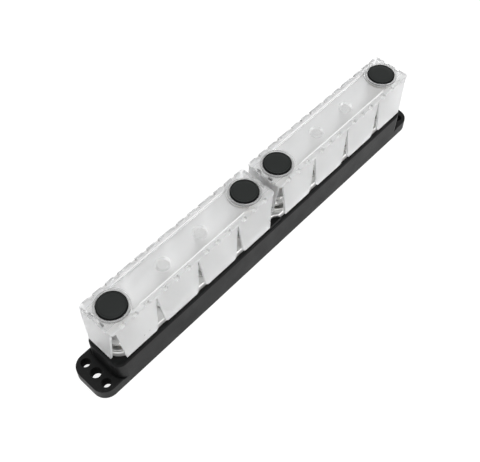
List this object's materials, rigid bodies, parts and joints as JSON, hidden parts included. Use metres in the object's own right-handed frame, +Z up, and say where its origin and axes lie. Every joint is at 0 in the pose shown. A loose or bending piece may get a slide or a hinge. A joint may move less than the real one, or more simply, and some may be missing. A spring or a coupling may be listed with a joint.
{
  "type": "bus bar",
  "caption": "Long moulded base with fixing ears, carrying a tinned bar and upright threaded studs under clear covers with snap-off flaps and round black knobs.",
  "frame": {"origin": "under the middle of the base, on its underside", "axes": "X along the bar, the picture's near end at -X; -Y is the long side that faces the camera; +Z up, along the studs"},
  "size_m": [0.378, 0.0388, 0.0778],
  "materials": {
    "base_plastic": "fine moulded grain",
    "tinned_bar": "tin plated copper",
    "stainless": "plain stainless",
    "clear_plastic": "frosted clear moulding",
    "knob_plastic": "fine moulded grain",
    "brass_insert": "turned"
  },
  "bodies": {
    "base": {"base_moulding": "base_plastic", "bus_bar": "tinned_bar", "stud_bolt_1": "stainless", "flat_washer_1": "stainless", "flange_nut_1": "stainless", "stud_bolt_2": "stainless", "flat_washer_2": "stainless", "flange_nut_2": "stainless", "stud_bolt_3": "stainless", "flat_washer_3": "stainless", "flange_nut_3": "stainless", "stud_bolt_4": "stainless", "flat_washer_4": "stainless", "flange_nut_4": "stainless", "stud_bolt_5": "stainless", "flat_washer_5": "stainless", "flange_nut_5": "stainless", "stud_bolt_6": "stainless", "flat_washer_6": "stainless", "flange_nut_6": "stainless", "stud_bolt_7": "stainless", "flat_washer_7": "stainless", "flange_nut_7": "stainless", "stud_bolt_8": "stainless", "flat_washer_8": "stainless", "flange_nut_8": "stainless"},
    "cover_left": {"cover_left": "clear_plastic"},
    "cover_right": {"cover_right": "clear_plastic"},
    "knob_1": {"knob_cap_1": "knob_plastic", "knob_sleeve_1": "brass_insert"},
    "knob_2": {"knob_cap_2": "knob_plastic", "knob_sleeve_2": "brass_insert"},
    "knob_3": {"knob_cap_3": "knob_plastic", "knob_sleeve_3": "brass_insert"},
    "knob_4": {"knob_cap_4": "knob_plastic", "knob_sleeve_4": "brass_insert"}
  },
  "joints": [
    {"name": "cover_left_lift", "type": "slide", "parent": "base", "child": "cover_left", "axis": [0, 0, 1], "range_m": [0, 0.045]},
    {"name": "cover_right_lift", "type": "slide", "parent": "base", "child": "cover_right", "axis": [0, 0, 1], "range_m": [0, 0.045]},
    {"name": "knob_1_turn", "type": "hinge", "parent": "cover_left", "child": "knob_1", "pos_m": [-0.1521, 0, 0.0755], "axis": [0, 0, 1], "continuous": true},
    {"name": "knob_2_turn", "type": "hinge", "parent": "cover_left", "child": "knob_2", "pos_m": [-0.0187, 0, 0.0755], "axis": [0, 0, 1], "continuous": true},
    {"name": "knob_3_turn", "type": "hinge", "parent": "cover_right", "child": "knob_3", "pos_m": [0.0187, 0, 0.0755], "axis": [0, 0, 1], "continuous": true},
    {"name": "knob_4_turn", "type": "hinge", "parent": "cover_right", "child": "knob_4", "pos_m": [0.1521, 0, 0.0755], "axis": [0, 0, 1], "continuous": true}
  ]
}
